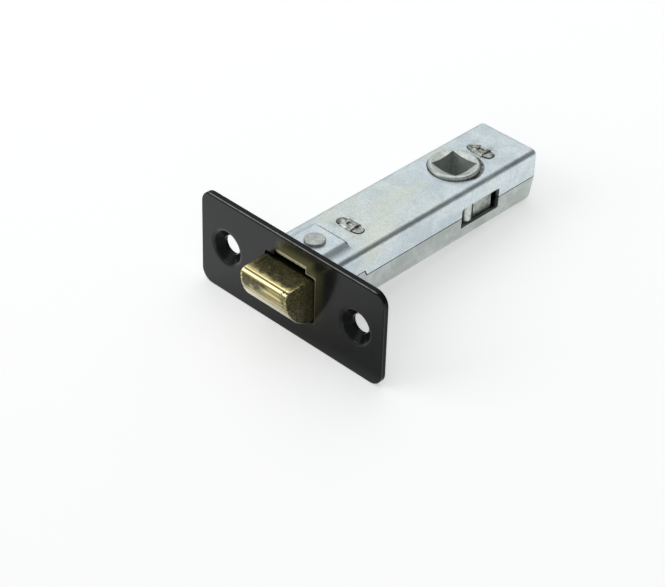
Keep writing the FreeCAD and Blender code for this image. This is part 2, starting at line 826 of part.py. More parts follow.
def make_bolt():
    """The latch bolt, with the spring's pocket and the rod's socket behind."""
    body = new_body("latch_bolt")
    side = new_sketch(body, "side", "YZ_Plane")
    nose = "-bolt_projection"
    draw_outline(
        side,
        [
            ("bolt_tail", "bolt_height / 2"),
            (f"{nose} + nose_radius", "bolt_height / 2"),
            (nose, "bolt_height / 2 - nose_radius"),
            ("-ramp_foot", "-bolt_height / 2"),
            ("bolt_tail", "-bolt_height / 2"),
        ],
        arcs={1: "nose_radius", 2: RAMP_RADIUS},
    )
    push("Pad", side, "bolt_width", both=True)
    round_edges(
        body,
        "ramp_edge",
        "bolt_edge",
        lambda edge: runs_along(edge, "x") and near(middle(edge).y, "-ramp_foot"),
    )
    round_edges(
        body,
        "end_edges",
        "bolt_edge",
        lambda edge: near(abs(middle(edge).x), "bolt_width / 2") and not lies_at_depth(edge, "bolt_tail"),
    )
    pocket = new_sketch(body, "pocket", "XZ_Plane", POCKET_FLOOR)
    push("Pocket", draw_circle(pocket, "spring_pocket / 2"), f"pocket_depth + {OVERSHOOT}")
    socket = new_sketch(body, "socket", "XZ_Plane", ROD_FRONT)
    push("Pocket", draw_circle(socket, "rod_diameter / 2"), f"rod_socket + {OVERSHOOT}")
    return body


def make_rod():
    """The rod, with the groove for its clip."""
    body = new_body("bolt_rod")
    bar = new_sketch(body, "bar", "XZ_Plane", ROD_FRONT)
    push("Pad", draw_circle(bar, "rod_diameter / 2"), f"{ROD_BACK} - {ROD_FRONT}")
    groove = new_sketch(body, "groove", "XZ_Plane", CLIP_FRONT)
    draw_circle(groove, "clip_groove / 2")
    draw_circle(groove, f"rod_diameter / 2 + {OVERSHOOT}")
    push("Pocket", groove, "clip_thickness")
    bevel_edges(body, "end", "rod_end_bevel", lambda edge: lies_at_depth(edge, ROD_BACK))
    return body


def make_washer():
    """The washer on the rod, which the retractor pulls."""
    body = new_body("rod_washer", WASHER_FRONT)
    ring = new_sketch(body, "ring", "XZ_Plane")
    draw_circle(ring, "washer_diameter / 2")
    draw_circle(ring, "rod_diameter / 2 + washer_gap")
    push("Pad", ring, "washer_thickness")
    return body


def make_clip():
    """The clip in the rod's groove, pushed on through its mouth."""
    body = new_body("rod_clip", CLIP_FRONT)
    ring = new_sketch(body, "ring", "XZ_Plane")
    draw_circle(ring, "clip_diameter / 2")
    draw_circle(ring, "clip_groove / 2")
    push("Pad", ring, "clip_thickness")
    mouth = new_sketch(body, "mouth", "XZ_Plane")
    draw_box(mouth, "-clip_mouth / 2", "clip_mouth / 2", "-clip_diameter", "0")
    push("Pocket", mouth, "clip_thickness")
    return body


def make_follower():
    """The follower: a cast hub with two lobes and the square socket."""
    body = new_body("follower", "backset")
    top, bottom = "(case_top + head_rise)", "(0 - case_bottom - head_rise)"
    upper, lower = f"({ROOF} - flange_gap)", f"(0 - {FLOOR} + flange_gap)"
    half = new_sketch(body, "half", "XZ_Plane")
    draw_outline(
        half,
        [
            ("0", bottom),
            (HEAD_RADIUS, bottom),
            (HEAD_RADIUS, lower),
            ("hub_diameter / 2 + bottom_lip", lower),
            ("hub_diameter / 2 + bottom_lip", f"{lower} + flange_thickness"),
            ("hub_diameter / 2", f"{lower} + flange_thickness"),
            ("hub_diameter / 2", f"{upper} - flange_thickness"),
            ("hub_diameter / 2 + top_lip", f"{upper} - flange_thickness"),
            ("hub_diameter / 2 + top_lip", upper),
            (HEAD_RADIUS, upper),
            (HEAD_RADIUS, top),
            ("0", top),
        ],
    )
    spin("Revolution", half)
    round_edges(
        body,
        "head_edges",
        "head_round",
        lambda edge: lies_at_height(edge, top) or lies_at_height(edge, bottom),
    )
    dish_head(body, "upper_dish", top, 1)
    dish_head(body, "lower_dish", bottom, -1)
    for name, sign in (("right", 1), ("left", -1)):
        lobe = new_sketch(body, f"{name}_lobe", "XY_Plane", LOBE_FOOT)
        root = (f"{sign} * {LOBE_ROOT} * cos(lobe_angle)", f"0 - {LOBE_ROOT} * sin(lobe_angle)")
        tip = (f"{sign} * {TIP_CENTRE} * cos(lobe_angle)", f"0 - {TIP_CENTRE} * sin(lobe_angle)")
        push("Pad", draw_slot(lobe, root, tip, "lobe_width / 2"), "lobe_height")
    socket = new_sketch(body, "socket", "XY_Plane", bottom)
    draw_centred(socket, "spindle_square / 2", "spindle_square / 2")
    push("Pocket", socket, f"{top} - {bottom}", 1)
    return body


def dish_head(body, name, level, towards):
    """Slopes a head's face down from its rim towards the socket."""
    inside = f"({HEAD_RADIUS} - head_rim)"
    floor = f"{level} - {towards} * head_dish"
    above = f"{level} + {towards} * {OVERSHOOT}"
    corners = [("0", floor), ("spindle_square / 2", floor), (inside, level), (inside, above), ("0", above)]
    cone = new_sketch(body, name, "XZ_Plane")
    draw_outline(cone, corners if towards > 0 else corners[::-1])
    spin("Groove", cone)


def make_retractor():
    """The retractor, a fork folded from sheet: a flange in front, and an ear and a seat on each side."""
    body = new_body("retractor")
    side = new_sketch(body, "side", "YZ_Plane")
    outer = "(sheet_fold + sheet_thickness)"
    draw_outline(
        side,
        [
            ("fork_front", "-ear_drop"),
            ("fork_front + sheet_thickness", "-ear_drop"),
            ("fork_front + sheet_thickness", f"{FORK_UNDER} - sheet_fold"),
            (f"fork_front + {outer}", FORK_UNDER),
            (EAR_END, FORK_UNDER),
            (EAR_END, FORK_TOP),
            (f"fork_front + {outer}", FORK_TOP),
            ("fork_front", f"{FORK_TOP} - {outer}"),
        ],
        arcs={6: outer},
        hollows={2: "sheet_fold"},
    )
    push("Pad", side, f"2 * {FORK_HALF}", both=True)
    rod_hole = new_sketch(body, "rod_hole", "XZ_Plane", "fork_front")
    push("Pocket", draw_circle(rod_hole, "rod_diameter / 2 + rod_gap"), "sheet_thickness")
    for name, sign in (("left", -1), ("right", 1)):
        add_ear(body, name, sign)
    end = new_sketch(body, "fork_end", "XY_Plane", FORK_UNDER)
    push("Pocket", draw_circle(end, FORK_SLOT, ("0", f"backset - {STROKE}")), "sheet_thickness", 1)
    slot = new_sketch(body, "fork_slot", "XY_Plane", FORK_UNDER)
    draw_box(slot, f"-{FORK_SLOT}", FORK_SLOT, f"backset - {STROKE}", f"{EAR_END} + {OVERSHOOT}")
    push("Pocket", slot, "sheet_thickness", 1)
    return body


def beside(sign, nearer, further):
    """Left and right limits on one side of the middle, from two distances."""
    return (nearer, further) if sign > 0 else (f"-({further})", f"-({nearer})")


def add_ear(body, name, sign):
    """Folds an ear down beside the fork, and turns its rear end inwards as a spring's seat."""
    inside = f"{FORK_HALF} - sheet_thickness"
    ear = new_sketch(body, f"{name}_ear", "XY_Plane", "-ear_drop")
    draw_box(ear, *beside(sign, inside, FORK_HALF), EAR_FRONT, EAR_END)
    push("Pad", ear, f"ear_drop + {FORK_TOP}")
    seat = new_sketch(body, f"{name}_seat", "XY_Plane", "-ear_drop")
    limits = beside(sign, f"{FORK_HALF} - seat_width", FORK_HALF)
    draw_box(seat, *limits, f"{EAR_END} - sheet_thickness", EAR_END)
    push("Pad", seat, f"ear_drop + {FORK_UNDER}")
    relief = new_sketch(body, f"{name}_relief", "XY_Plane", FORK_UNDER)
    beyond = f"{FORK_HALF} + {OVERSHOOT}"
    draw_box(relief, *beside(sign, inside, beyond), f"{EAR_FRONT} - fold_relief", EAR_FRONT)
    push("Pocket", relief, "sheet_thickness", 1)


def make_spring(label, sizes, start, end, across="0", up="0"):
    """A compression spring along Y between two seats, from its coil's and wire's diameters and its pitch."""
    coil, wire, pitch = sizes
    length = f"({end} - {start} - {wire} - 2 * coil_gap)"
    middle_radius = f"({coil} / 2 - {wire} / 2)"
    path = document.addObject("Part::Helix", f"{label}_path")
    path.setExpression("Radius", linked(middle_radius))
    path.setExpression("Pitch", linked(pitch))
    path.setExpression("Height", linked(length))
    section = document.addObject("Part::Circle", f"{label}_wire")
    section.setExpression("Radius", linked(f"{wire} / 2"))
    section.Placement.Rotation = FreeCAD.Rotation(FreeCAD.Vector(1, 0, 0), 90)
    section.setExpression("Placement.Base.x", linked(middle_radius))
    spring = document.addObject("Part::Sweep", label)
    spring.Label = label
    spring.Sections = [section]
    spring.Spine = (path, ["Edge1"])
    spring.Solid = True
    spring.Frenet = True
    spring.Placement.Rotation = FreeCAD.Rotation(FreeCAD.Vector(1, 0, 0), -90)
    spring.setExpression("Placement.Base.x", linked(across))
    spring.setExpression("Placement.Base.y", linked(f"{start} + {wire} / 2 + coil_gap"))
    spring.setExpression("Placement.Base.z", linked(up))
    return finished(spring)


def make_springs():
    """The bolt's spring and the two springs that return the retractor."""
    guide_face = "(guide_place - plate_thickness / 2)"
    bolt_sizes = ("bolt_coil", "bolt_wire", "bolt_pitch")
    springs = [make_spring("bolt_spring", bolt_sizes, POCKET_FLOOR, guide_face)]
    return_sizes = ("return_coil", "return_wire", "return_pitch")
    height = f"({FORK_UNDER} - return_coil / 2 - coil_gap)"
    for name, sign in (("left", -1), ("right", 1)):
        across = f"{sign} * {SPRING_ACROSS}"
        label = f"return_spring_{name}"
        springs.append(make_spring(label, return_sizes, EAR_END, INSIDE_END, across, height))
    return springs


def write_parts(pieces):
    """Checks every object of the document, then writes each sub-part to a file of its own."""
    document.recompute()
    for item in document.Objects:
        if "Invalid" in item.State or "Error" in item.State:
            raise RuntimeError(f"{item.Name}: {item.State}")
    for piece in pieces:
        if piece.Shape.isNull() or not piece.Shape.isValid() or len(piece.Shape.Solids) != 1:
            raise RuntimeError(f"{piece.Label}: not one valid solid")
    os.makedirs("parts", exist_ok=True)
    for piece in pieces:
        piece.Shape.exportStep(f"parts/{piece.Label}.step")


fill_sheet()
write_parts(
    [
        make_forend(),
        make_upper_case(),
        make_lower_case(),
        make_rivet(),
        make_guide(),
        make_staked_plate("rear_spacer", SPACER_WIDTH, "spacer_place"),
        make_bolt(),
        make_rod(),
        make_washer(),
        make_clip(),
        make_follower(),
        make_retractor(),
        *make_springs(),
    ]
)
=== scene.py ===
import json
import math

import bpy
from mathutils import Matrix, Vector


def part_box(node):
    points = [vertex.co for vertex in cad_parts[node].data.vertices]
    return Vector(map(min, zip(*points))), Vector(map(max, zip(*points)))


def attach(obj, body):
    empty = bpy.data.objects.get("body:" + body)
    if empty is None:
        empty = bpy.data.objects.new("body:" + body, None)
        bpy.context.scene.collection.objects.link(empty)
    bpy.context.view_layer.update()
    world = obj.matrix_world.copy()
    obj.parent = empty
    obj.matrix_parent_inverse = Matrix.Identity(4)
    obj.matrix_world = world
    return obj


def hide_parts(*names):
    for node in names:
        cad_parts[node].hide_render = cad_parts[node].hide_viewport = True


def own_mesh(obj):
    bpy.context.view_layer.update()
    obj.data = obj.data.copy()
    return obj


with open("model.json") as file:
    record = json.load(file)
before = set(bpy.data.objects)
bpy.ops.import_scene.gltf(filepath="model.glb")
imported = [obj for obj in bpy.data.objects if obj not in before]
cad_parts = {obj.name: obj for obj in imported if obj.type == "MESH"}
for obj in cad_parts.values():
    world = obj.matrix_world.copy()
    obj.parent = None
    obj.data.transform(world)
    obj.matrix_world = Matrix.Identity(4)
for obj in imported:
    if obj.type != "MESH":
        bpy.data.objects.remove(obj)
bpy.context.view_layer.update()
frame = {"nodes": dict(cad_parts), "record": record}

nodes = frame["nodes"]
scene = bpy.context.scene
MM = 0.001


def extent(node):
    """A node's lowest and highest corners at rest, in millimetres."""
    low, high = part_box(node)
    return low / MM, high / MM


# ---------------------------------------------------------------- places
# Where the wear, the grime, the painted light and shade and the stage belong, in millimetres in the part's
# frame.
FOREND_THICKNESS = 1.45
FOREND_TOP = extent("forend")[1].z
OPENING_WIDTH_HALF, OPENING_HEIGHT_HALF = 8.3, 6.6
RELIEF_WIDTH_HALF, RELIEF_TOP = 5.2, 8.45  # the bend's relief above the opening
CASE_FRONT = 10.0  # everything behind this plane belongs to the case
PAD_TOP = extent("upper_case")[1].z
PAD_FLANK = 5.8
CASE_TOP = PAD_TOP - FOREND_THICKNESS  # the pad is raised by the forend's lug
BOLT_HALF = extent("latch_bolt")[1].x
HUB_Y = sum(corner.y for corner in extent("follower")) / 2.0
TAB_PLACES = [sum(corner.y for corner in extent(plate)) / 2.0 for plate in ("guide_plate", "rear_spacer")]
SOCKET_HALF = 4.0

# ---------------------------------------------------------------- camera
# A long lens, in metres in the part's frame, for a picture of 665 x 587.
cam_data = bpy.data.cameras.new("camera")
cam_data.sensor_fit = "HORIZONTAL"
cam_data.sensor_width = 36.0
cam_data.lens = 118.388
cam_data.clip_start = 0.01
cam_data.clip_end = 20.0
camera = bpy.data.objects.new("camera", cam_data)
right = Vector((0.71384252, 0.69984512, 0.02541003))
up = Vector((-0.43543233, 0.41513891, 0.79878556))
back = Vector((0.54847748, -0.58127144, 0.601079))
place = Matrix((right, up, back)).transposed().to_4x4()
place.translation = Vector((0.288468, -0.290917, 0.306496))
camera.matrix_world = place
scene.collection.objects.link(camera)
scene.camera = camera
scene.view_settings.view_transform = "Standard"


# ---------------------------------------------------------------- materials
class Nodes:
    """A small helper that builds one material's node tree. Patterns lie in the part's frame."""

    def __init__(self, name):
        self.material = bpy.data.materials.new(name)
        self.material.use_nodes = True
        self.tree = self.material.node_tree
        self.tree.nodes.clear()
        self.output = self.tree.nodes.new("ShaderNodeOutputMaterial")
        self.coords = self.tree.nodes.new("ShaderNodeTexCoord").outputs["Object"]

    def add(self, kind, inputs=None, **settings):
        node = self.tree.nodes.new(kind)
        for key, value in settings.items():
            setattr(node, key, value)
        for key, value in (inputs or {}).items():
            self.put(node.inputs[key], value)
        return node

    def put(self, socket, value):
        if isinstance(value, bpy.types.NodeSocket):
            self.tree.links.new(value, socket)
        else:
            socket.default_value = value

    def scaled(self, scale):
        return self.add("ShaderNodeMapping", {"Vector": self.coords, "Scale": scale}).outputs[0]

    def places(self):
        """The X, Y and Z of a point on the surface, in millimetres."""
        return self.add("ShaderNodeSeparateXYZ", {0: self.scaled((1.0 / MM,) * 3)}).outputs

    def distance(self, centre, stretch=(1.0, 1.0, 1.0)):
        """How far the surface is from a centre, in millimetres, once stretched."""
        inputs = {0: self.scaled([share / MM for share in stretch]), 1: centre}
        return self.add("ShaderNodeVectorMath", inputs, operation="DISTANCE").outputs["Value"]

    def noise(self, scale, detail=4.0, rough=0.55, distortion=0.0, vector=None):
        inputs = {"Scale": scale, "Detail": detail, "Roughness": rough, "Distortion": distortion}
        inputs["Vector"] = vector or self.coords
        return self.add("ShaderNodeTexNoise", inputs).outputs["Fac"]

    def ramp(self, value, low, high, to_low=0.0, to_high=1.0, smooth=False):
        inputs = {"Value": value, "From Min": low, "From Max": high, "To Min": to_low, "To Max": to_high}
        kind = "SMOOTHSTEP" if smooth else "LINEAR"
        return self.add("ShaderNodeMapRange", inputs, interpolation_type=kind).outputs[0]

    def band(self, value, start, full_from, full_to, end):
        """1 between full_from and full_to, fading to 0 at start and end."""
        return self.times(self.ramp(value, start, full_from), self.ramp(value, end, full_to))

    def calc(self, operation, first, *others):
        """A maths node, or a chain of them where there are more than two values."""
        for other in others or (0.0,):
            first = self.add("ShaderNodeMath", {0: first, 1: other}, operation=operation).outputs[0]
        return first

    def times(self, *values):
        return self.calc("MULTIPLY", *values)

    def plus(self, *values):
        return self.calc("ADD", *values)

    def minus(self, *values):
        return self.calc("SUBTRACT", *values)

    def most(self, *values):
        return self.calc("MAXIMUM", *values)

    def size(self, value):
        return self.calc("ABSOLUTE", value)

    def besides(self, mask, share=1.0):
        """What a mask leaves, where it takes a share of the whole."""
        return self.minus(1.0, self.times(mask, share))

    def mix(self, factor, a, b):
        node = self.add("ShaderNodeMix", data_type="RGBA")
        self.put(node.inputs[0], factor)
        for index, value in ((6, a), (7, b)):
            if isinstance(value, tuple):
                value = (*value, 1.0)
            self.put(node.inputs[index], value)
        return node.outputs[2]

    def tinted(self, color, mask, share, tint):
        """A color with a share of a tint laid over it where the mask is."""
        return self.mix(self.times(mask, share), color, tint)

    def bump(self, height, distance, strength=1.0, normal=None):
        inputs = {"Height": height, "Distance": distance, "Strength": strength}
        if normal is not None:
            inputs["Normal"] = normal
        return self.add("ShaderNodeBump", inputs).outputs[0]

    def surface(self, **inputs):
        named = {key.replace("_", " "): value for key, value in inputs.items()}
        shader = self.add("ShaderNodeBsdfPrincipled", named)
        self.tree.links.new(shader.outputs[0], self.output.inputs["Surface"])
        return self.material


def zinc(name, pale, grey, warm, upper=False):
    """Zinc-plated sheet: mottled, with soft warm tints and stains, a fine grain and faint scratches."""
    g = Nodes(name)
    cloud = g.ramp(g.noise(170.0, 5.0, 0.6, 0.4), 0.36, 0.66, smooth=True)
    tint = g.ramp(g.noise(75.0, 3.0, 0.5, 0.8, g.scaled((1.0, 0.6, 1.0))), 0.46, 0.70, smooth=True)
    speck = g.ramp(g.noise(2300.0, 3.0, 0.65), 0.44, 0.66)
    stain = g.ramp(g.noise(330.0, 6.0, 0.72, 0.3), 0.56, 0.74)
    drawn = g.noise(1.0, 4.0, 0.6, 0.0, g.scaled((2600.0, 60.0, 2600.0)))
    scratch = g.ramp(g.noise(1.0, 2.0, 0.5, 0.6, g.scaled((900.0, 110.0, 900.0))), 0.68, 0.74)
    cross = g.ramp(g.noise(1.0, 2.0, 0.5, 0.8, g.scaled((150.0, 1500.0, 600.0))), 0.70, 0.76)
    color = g.mix(cloud, grey, pale)
    color = g.tinted(color, tint, 0.6, warm)
    color = g.tinted(color, speck, 0.42, (0.36, 0.40, 0.40))
    color = g.tinted(color, stain, 0.24, (0.30, 0.33, 0.30))
    color = g.tinted(color, scratch, 0.10, (0.86, 0.88, 0.9))
    color = g.tinted(color, cross, 0.18, (0.25, 0.27, 0.26))
    rough = g.plus(g.ramp(drawn, 0.3, 0.7, 0.30, 0.42), g.times(cloud, 0.06))
    height = g.plus(g.times(drawn, 0.4), g.times(speck, 0.6))
    height = g.minus(height, g.times(scratch, 0.4))
    normal = g.bump(height, 0.000032, 0.7, g.bump(g.noise(150.0, 2.0), 0.0001, 0.25))
    metal = 0.92
    if upper:
        color, rough, metal = upper_marks(g, color, rough, metal)
    return g.surface(Base_Color=color, Metallic=metal, Roughness=rough, Normal=normal)


def upper_marks(g, color, rough, metal):
    """Painted shade along the raised pad's rear edge and in a crescent beside the hub, and grime round the
    tabs. The pad's folds are dull.
    """
    x, y, z = g.places()
    top = g.ramp(z, CASE_TOP - 0.5, CASE_TOP - 0.1)
    # Painted shade: a dark line along the pad's rear edge, where the step falls away.
    pad_edge_shade = g.times(
        g.ramp(y, 13.06, 13.22),
        g.ramp(z, PAD_TOP - 0.75, PAD_TOP - 0.35),
        g.ramp(x, -5.4, -3.0),
    )
    # A crescent of painted shade, for the gap on the far right of the hub.
    from_hub = g.distance((0.35, HUB_Y + 0.35, 0.0), (1.0, 1.0, 0.0))
    crescent_shade = g.times(g.ramp(from_hub, 7.15, 7.00), g.ramp(g.plus(x, g.minus(y, HUB_Y)), 3.5, 6.5))
    ragged = g.ramp(g.noise(900.0, 4.0, 0.7), 0.30, 0.55, 0.35, 1.0)
    dark = g.times(g.most(g.times(pad_edge_shade, 0.8), crescent_shade), ragged, top)
    stains = g.ramp(g.noise(420.0, 6.0, 0.75), 0.50, 0.66)
    for tab in TAB_PLACES:
        near = g.ramp(g.distance((0.0, tab, 0.0), (0.75, 1.0, 0.0)), 5.8, 2.6, smooth=True)
        dark = g.most(dark, g.times(near, stains, 0.35, top))
    # The painted shade and the grime share one dark colour.
    color = g.mix(dark, color, (0.05, 0.055, 0.048))
    fold = g.ramp(g.size(g.minus(g.size(x), PAD_FLANK)), 1.4, 0.6)
    fold = g.times(fold, g.ramp(y, 14.4, 13.6), top)
    foot = g.times(fold, g.ramp(z, CASE_TOP + 0.8, CASE_TOP + 0.1))
    return color, g.plus(rough, g.times(fold, 0.22)), g.ramp(foot, 0.0, 1.0, metal, 0.0)


def black_paint():
    """Glossy black paint. Round the opening it carries a painted reflection of the brass bolt, and the
    opening's rim is rubbed bare, with a painted highlight.
    """
    g = Nodes("black_paint")
    x, y, z = g.places()
    width = g.size(x)
    peel = g.noise(900.0, 3.0, 0.5)
    dust = g.ramp(g.noise(4200.0, 2.0, 0.5), 0.70, 0.80)
    color = g.mix(g.ramp(g.noise(70.0, 3.0), 0.3, 0.7), (0.007, 0.0085, 0.008), (0.011, 0.0125, 0.0115))
    color = g.tinted(color, dust, 0.08, (0.20, 0.21, 0.21))
    # A painted reflection of the brass bolt tints the paint. It fades with the distance from the opening and
    # its relief, and lies above and on the right.
    from_opening = g.most(g.minus(width, OPENING_WIDTH_HALF), g.minus(g.size(z), OPENING_HEIGHT_HALF))
    from_relief = g.most(g.minus(width, RELIEF_WIDTH_HALF), g.minus(z, RELIEF_TOP))
    away = g.calc("MINIMUM", from_opening, from_relief)
    above = g.times(g.ramp(z, 5.2, 7.0), g.ramp(x, 10.5, 7.0, smooth=True))
    beside = g.times(g.ramp(x, 6.6, 8.0), g.ramp(z, -6.8, 1.0, 0.05, 0.4))
    side = g.times(g.most(above, beside), g.ramp(x, -5.2, -3.0, smooth=True))
    front = g.ramp(y, 1.3, 0.7)
    bolt_reflection = g.times(g.ramp(away, 4.0, -0.2, smooth=True), front, side)
    color = g.mix(bolt_reflection, color, (0.190, 0.182, 0.080))
    # The opening's rim is rubbed bare, with a painted highlight laid on it.
    bare_and_highlight = g.times(g.ramp(away, 0.26, 0.10), front, side, g.ramp(g.noise(600.0, 3.0, 0.6), 0.3, 0.5, 0.5, 1.0))
    color = g.mix(bare_and_highlight, color, (0.86, 0.80, 0.52))
    # The front edge above has a painted highlight, a thin bright line, and the rest of the outline is dull.
    front_edge_highlight = g.times(
        g.ramp(z, FOREND_TOP - 0.28, FOREND_TOP - 0.21),
        g.ramp(y, 0.20, 0.13),
        g.ramp(g.noise(500.0, 4.0, 0.65), 0.30, 0.55, 0.45, 1.0),
    )
    color = g.mix(front_edge_highlight, color, (0.27, 0.28, 0.28))
    under_edge = g.times(g.ramp(z, FOREND_TOP - 0.84, FOREND_TOP - 0.64), g.ramp(front_edge_highlight, 0.2, 0.1))
    dull = g.most(g.ramp(y, 0.30, 0.45), under_edge)
    return g.surface(
        Base_Color=color,
        Metallic=g.times(bare_and_highlight, 0.1),
        Roughness=g.ramp(peel, 0.3, 0.7, 0.13, 0.20),
        Specular_IOR_Level=g.ramp(dull, 0.0, 1.0, 0.28, 0.07),
        Normal=g.bump(peel, 0.00002, 0.22),
    )


def bolt_brass():
    """Brass with a dark patina. The nose is rubbed bright, with a painted highlight and painted dark
    reflections, and the ramp is worn in streaks along the bolt.
    """
    g = Nodes("bolt_brass")
    x, y, z = g.places()
    width = g.size(x)
    grain = g.noise(1700.0, 4.0, 0.65)
    blot = g.noise(520.0, 5.0, 0.66, 0.3)
    patina = g.mix(g.ramp(blot, 0.34, 0.68), (0.030, 0.028, 0.011), (0.115, 0.105, 0.040))
    patina = g.tinted(patina, g.ramp(grain, 0.54, 0.66), 0.7, (0.26, 0.24, 0.10))
    patina = g.tinted(patina, g.ramp(grain, 0.44, 0.32), 0.7, (0.008, 0.007, 0.003))
    # Bare metal, pale at the ramp's foot, with a painted highlight along the nose's ridge.
    brushed = g.noise(1.0, 4.0, 0.65, 0.0, g.scaled((60.0, 1800.0, 1800.0)))
    bare_and_highlight = g.mix(g.ramp(brushed, 0.34, 0.66), (0.50, 0.41, 0.16), (0.84, 0.75, 0.40))
    cream = g.ramp(z, 1.8, -0.8, 0.0, 0.8, smooth=True)
    bare_and_highlight = g.mix(cream, bare_and_highlight, (1.0, 0.91, 0.67))
    bare_and_highlight = g.mix(g.band(z, 5.40, 5.56, 5.67, 5.74), bare_and_highlight, (0.66, 0.61, 0.42))
    # The nose's rubbed band has a ragged rear edge, which reaches further back at both ends, and a painted dark
    # reflection line.
    reach = g.ramp(g.size(g.plus(x, 0.4)), 4.2, 7.8, 0.0, 1.0, smooth=True)
    ragged = g.minus(g.ramp(g.noise(420.0, 5.0, 0.7), 0.25, 0.75, -1.1, 1.1), reach)
    dark_reflection_line = g.band(z, 5.74, 5.82, 5.91, 5.98)
    nose = g.times(
        g.ramp(g.plus(y, ragged), -6.0, -7.0, smooth=True),
        g.ramp(z, 4.9, 5.3),
        g.besides(dark_reflection_line, 0.85),
    )
    # The ramp is streaked. It keeps its patina in a stripe, at the upper left and at the right, and a painted
    # dark reflection below the nose.
    streaks = g.noise(1.0, 4.0, 0.68, 0.3, g.scaled((26.0, 700.0, 700.0)))
    streaks = g.most(g.ramp(streaks, 0.34, 0.54, 0.25, 1.0, smooth=True), g.ramp(z, 1.2, -0.4, 0.0, 0.9))
    wander = g.ramp(g.noise(380.0, 5.0, 0.7), 0.25, 0.75, -2.2, 2.2)
    across = g.plus(x, wander)
    stripe = g.band(z, 2.0, 2.6, 2.9, 3.5)
    dark_reflection_below_nose = g.times(g.ramp(z, 3.8, 4.4), g.ramp(x, 2.2, 0.2))
    left = g.times(g.ramp(across, 0.4, -1.6), g.ramp(g.plus(z, g.times(wander, 0.5)), 1.4, 2.6))
    right_side = g.times(g.ramp(across, 5.0, 6.4), g.ramp(g.plus(z, wander), 1.0, 3.0))
    shares = ((stripe, 0.5), (dark_reflection_below_nose, 0.95), (left, 0.95), (right_side, 0.7))
    kept = g.most(*[g.times(mask, share) for mask, share in shares])
    ramp_face = g.times(g.ramp(z, 5.4, 5.0), streaks, g.besides(kept))
    inside_ends = g.ramp(width, BOLT_HALF - 0.08, BOLT_HALF - 0.18)
    rubbed = g.times(g.most(nose, ramp_face), inside_ends)
    # The rims of the ends are rubbed bright, the top's left edge has a painted highlight, and the nose's right
    # corner is dented.
    rim = g.times(
        g.ramp(width, BOLT_HALF - 0.9, BOLT_HALF - 0.6),
        g.ramp(y, -2.0, -4.5),
        g.ramp(inside_ends, 0.0, 1.0, 0.28, 1.0),
        g.ramp(grain, 0.42, 0.56),
    )
    left_edge_highlight = g.times(g.band(x, -7.06, -6.92, -6.80, -6.66), g.ramp(z, 5.8, 6.0))
    wear_and_highlight = g.most(rubbed, g.times(g.most(rim, g.times(left_edge_highlight, 0.5)), 0.9))
    dents = g.times(g.ramp(g.noise(1100.0, 2.0), 0.56, 0.62), g.ramp(x, 5.0, 6.2), g.ramp(y, -6.8, -7.8))
    wear_and_highlight = g.times(wear_and_highlight, g.besides(dents))
    color = g.mix(wear_and_highlight, patina, bare_and_highlight)
    # Painted shade: the top darkens where it goes into the case.
    gap_shade = g.times(g.ramp(g.plus(y, g.times(wander, 0.1)), -0.6, -0.2), g.ramp(z, 5.0, 5.6))
    color = g.mix(gap_shade, color, (0.002, 0.002, 0.001))
    dull_end = g.ramp(g.times(g.besides(inside_ends), g.besides(wear_and_highlight)), 0.0, 1.0, 1.0, 0.2)
    return g.surface(
        Base_Color=color,
        Metallic=g.times(g.ramp(wear_and_highlight, 0.0, 1.0, 0.6, 1.0), dull_end, g.besides(cream, 0.5)),
        Roughness=g.plus(g.ramp(wear_and_highlight, 0.0, 1.0, 0.42, 0.09), g.times(grain, 0.07)),
        Normal=g.bump(
            g.plus(g.times(grain, 0.8), g.times(brushed, 0.3)), 0.00005, g.ramp(wear_and_highlight, 0.3, 1.0, 0.6, 0.18)
        ),
    )


def cast_zinc():
    """The follower: die-cast, grey, slightly grained, and darker inside the socket."""
    g = Nodes("cast_zinc")
    x, y, _ = g.places()
    grain = g.noise(1300.0, 5.0, 0.62)
    cloud = g.noise(300.0, 3.0)
    color = g.mix(g.ramp(cloud, 0.3, 0.7), (0.46, 0.50, 0.46), (0.70, 0.74, 0.70))
    color = g.tinted(color, g.ramp(grain, 0.5, 0.7), 0.35, (0.80, 0.82, 0.80))
    color = g.tinted(color, g.ramp(grain, 0.46, 0.34), 0.5, (0.16, 0.17, 0.16))
    sides = [g.ramp(g.size(side), SOCKET_HALF + 0.05, SOCKET_HALF - 0.02) for side in (x, g.minus(y, HUB_Y))]
    inside = g.times(*sides)
    color = g.tinted(color, inside, 0.5, (0.42, 0.46, 0.43))
    return g.surface(
        Base_Color=color,
        Metallic=g.ramp(inside, 0.0, 1.0, 0.85, 0.35),
        Roughness=g.ramp(grain, 0.3, 0.7, 0.26, 0.46),
        Normal=g.bump(grain, 0.00005, 0.5),
    )


def steel(name, dark, light, low, high, scale=(1200.0, 1200.0, 1200.0), dents=0.00003):
    """Plain steel with a tooled or drawn grain, whose roughness goes from low to high."""
    g = Nodes(name)
    grain = g.noise(1.0, 5.0, 0.65, 0.2, g.scaled(scale))
    blot = g.noise(700.0, 4.0, 0.6)
    color = g.mix(g.ramp(blot, 0.38, 0.62), dark, light)
    color = g.tinted(color, g.ramp(grain, 0.5, 0.75), 0.35, (0.78, 0.80, 0.77))
    color = g.tinted(color, g.ramp(grain, 0.45, 0.32), 0.5, (0.08, 0.085, 0.075))
    return g.surface(
        Base_Color=color,
        Metallic=0.9,
        Roughness=g.ramp(grain, 0.3, 0.7, low, high),
        Normal=g.bump(grain, dents, 0.5, g.bump(blot, dents * 2.0, 0.4)),
    )


